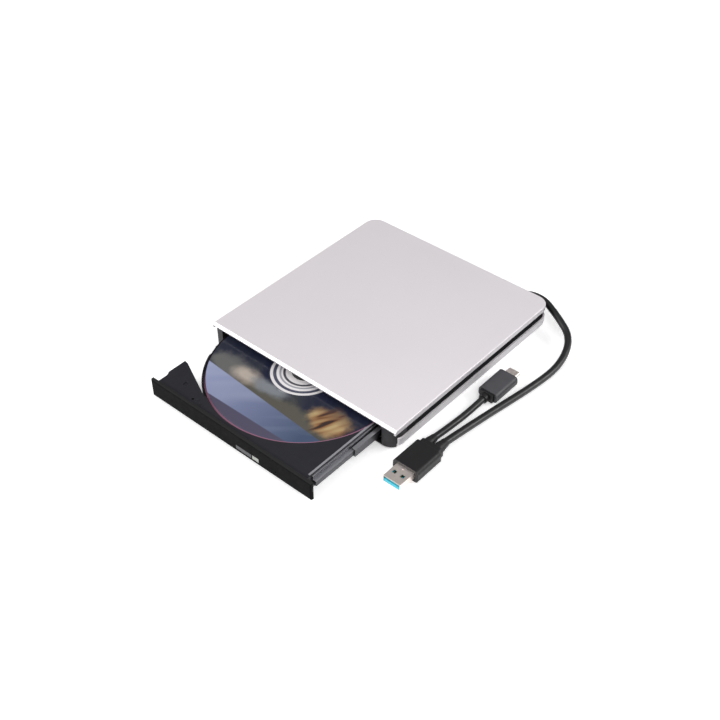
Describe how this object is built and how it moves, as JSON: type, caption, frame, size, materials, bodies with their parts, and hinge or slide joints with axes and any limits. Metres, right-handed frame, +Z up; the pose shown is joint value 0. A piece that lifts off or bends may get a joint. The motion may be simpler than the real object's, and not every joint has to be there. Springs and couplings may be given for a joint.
{
  "type": "external optical drive",
  "caption": "Slim external disc drive with a sliding tray, a cable groove round its case, and a short captive USB cable with two plugs.",
  "frame": {"origin": "on the surface that the feet stand on, below the middle of the case and its half open tray", "axes": "+Z up, -Y the front that the tray opens towards, +X to the right seen from the front"},
  "size_m": [0.1785, 0.2204, 0.0175],
  "materials": {
    "case_silver": "satin silver paint",
    "frame_black": "satin moulded black",
    "foot_rubber": "matt rubber",
    "screw_steel": "zinc plated",
    "cable_black": "satin cable jacket",
    "circuit_board": "green solder mask",
    "chip_black": "matt epoxy",
    "connector_black": "matt moulded",
    "plug_black": "satin moulded black",
    "plug_grey": "satin dark grey",
    "plug_steel": "bright nickel plate",
    "insulator_blue": "glossy blue",
    "contact_gold": "gold plate",
    "sheet_steel": "galvanised sheet",
    "rail_steel": "rolled stainless strip",
    "flex_film": "smooth film",
    "tray_black": "fine texture",
    "bezel_black": "satin black",
    "button_black": "satin black",
    "lens_white": "frosted clear",
    "latch_white": "acetal",
    "coil_copper": "enamelled wire",
    "hub_black": "matt moulded",
    "sled_grey": "glass filled",
    "lens_glass": "clear coated",
    "disc_print": "printed polycarbonate"
  },
  "bodies": {
    "housing": {"top_shell": "case_silver", "bottom_shell": "case_silver", "mid_frame": "frame_black", "rubber_feet": "foot_rubber", "case_screws": "screw_steel", "cable_gland": "cable_black", "bridge_board": "circuit_board", "bridge_chips": "chip_black", "board_screws": "screw_steel", "sata_socket": "connector_black", "usb_cable": "cable_black", "usb_c_pigtail": "cable_black", "usb_a_overmould": "plug_black", "usb_a_shell": "plug_steel", "usb_a_tongue": "insulator_blue", "usb_a_contacts": "contact_gold", "usb_c_collar": "plug_black", "usb_c_overmould": "plug_grey", "usb_c_shell": "plug_steel", "drive_chassis": "sheet_steel", "drive_cover": "sheet_steel", "cover_screws": "screw_steel", "drive_connector": "connector_black", "flex_cable": "flex_film", "latch_post": "screw_steel", "right_guide_channel": "rail_steel", "left_guide_channel": "rail_steel"},
    "tray": {"tray": "tray_black", "bezel": "bezel_black", "indicator_lens": "lens_white", "front_board": "circuit_board", "eject_switch": "connector_black", "tray_shield": "sheet_steel", "drive_board": "circuit_board", "latch_pivot_pin": "screw_steel", "latch_spring": "screw_steel", "latch_solenoid": "connector_black", "right_runner": "rail_steel", "left_runner": "rail_steel", "traverse_frame": "sheet_steel", "guide_rods": "rail_steel", "traverse_dampers": "foot_rubber", "traverse_screws": "screw_steel", "sled_motor": "plug_steel", "spindle_stator": "coil_copper"},
    "right_rail": {"right_slide_rail": "rail_steel"},
    "left_rail": {"left_slide_rail": "rail_steel"},
    "spindle": {"turntable": "hub_black", "turntable_pad": "foot_rubber", "disc_hub": "hub_black", "disc": "disc_print"},
    "claw_1": {"hub_claw_1": "latch_white"},
    "claw_2": {"hub_claw_2": "latch_white"},
    "claw_3": {"hub_claw_3": "latch_white"},
    "pickup": {"pickup_sled": "sled_grey"},
    "lens": {"lens_holder": "hub_black", "objective_lens": "lens_glass"},
    "screw": {"lead_screw": "screw_steel"},
    "latch": {"latch_lever": "latch_white"},
    "button": {"eject_button": "button_black"}
  },
  "joints": [
    {"name": "tray_slide", "type": "slide", "parent": "housing", "child": "tray", "axis": [0, -1, 0], "range_m": [-0.058, 0.069]},
    {"name": "right_rail_slide", "type": "slide", "parent": "housing", "child": "right_rail", "axis": [0, -1, 0], "range_m": [-0.029, 0.0345]},
    {"name": "left_rail_slide", "type": "slide", "parent": "housing", "child": "left_rail", "axis": [0, -1, 0], "range_m": [-0.029, 0.0345]},
    {"name": "spindle_spin", "type": "hinge", "parent": "tray", "child": "spindle", "pos_m": [-0.0036, -0.03965, 0.0103], "axis": [0, 0, 1], "continuous": true},
    {"name": "hub_claw_1_press", "type": "slide", "parent": "spindle", "child": "claw_1", "axis": [0, -1, 0], "range_m": [0, 0.0008], "stiffness_N_per_m": 200, "springref_m": -0.0004},
    {"name": "hub_claw_2_press", "type": "slide", "parent": "spindle", "child": "claw_2", "axis": [0.866, 0.5, 0], "range_m": [0, 0.0008], "stiffness_N_per_m": 200, "springref_m": -0.0004},
    {"name": "hub_claw_3_press", "type": "slide", "parent": "spindle", "child": "claw_3", "axis": [-0.866, 0.5, 0], "range_m": [0, 0.0008], "stiffness_N_per_m": 200, "springref_m": -0.0004},
    {"name": "sled_slide", "type": "slide", "parent": "tray", "child": "pickup", "axis": [0.7071, -0.7071, 0], "range_m": [-0.006, 0.027]},
    {"name": "lead_screw_spin", "type": "hinge", "parent": "tray", "child": "screw", "pos_m": [0.03147, -0.047, 0.0059], "axis": [0.7071, -0.7071, 0], "continuous": true},
    {"name": "lens_focus", "type": "slide", "parent": "pickup", "child": "lens", "axis": [0, 0, 1], "range_m": [-0.0003, 0.0003], "stiffness_N_per_m": 60},
    {"name": "latch_swing", "type": "hinge", "parent": "tray", "child": "latch", "pos_m": [0.05, -0.0945, 0.0052], "axis": [0, 0, 1], "range_deg": [0, 22], "stiffness_Nm_per_rad": 0.002, "springref_deg": -11.46},
    {"name": "eject_button_press", "type": "slide", "parent": "tray", "child": "button", "axis": [0, 1, 0], "range_m": [0, 0.0004], "stiffness_N_per_m": 500, "springref_m": -0.0005}
  ],
  "couplings": [
    {"joint": "right_rail_slide", "follows": "tray_slide", "ratio": 0.5},
    {"joint": "left_rail_slide", "follows": "tray_slide", "ratio": 0.5},
    {"joint": "lead_screw_spin", "follows": "sled_slide", "rad_per_m": 2094.4}
  ]
}
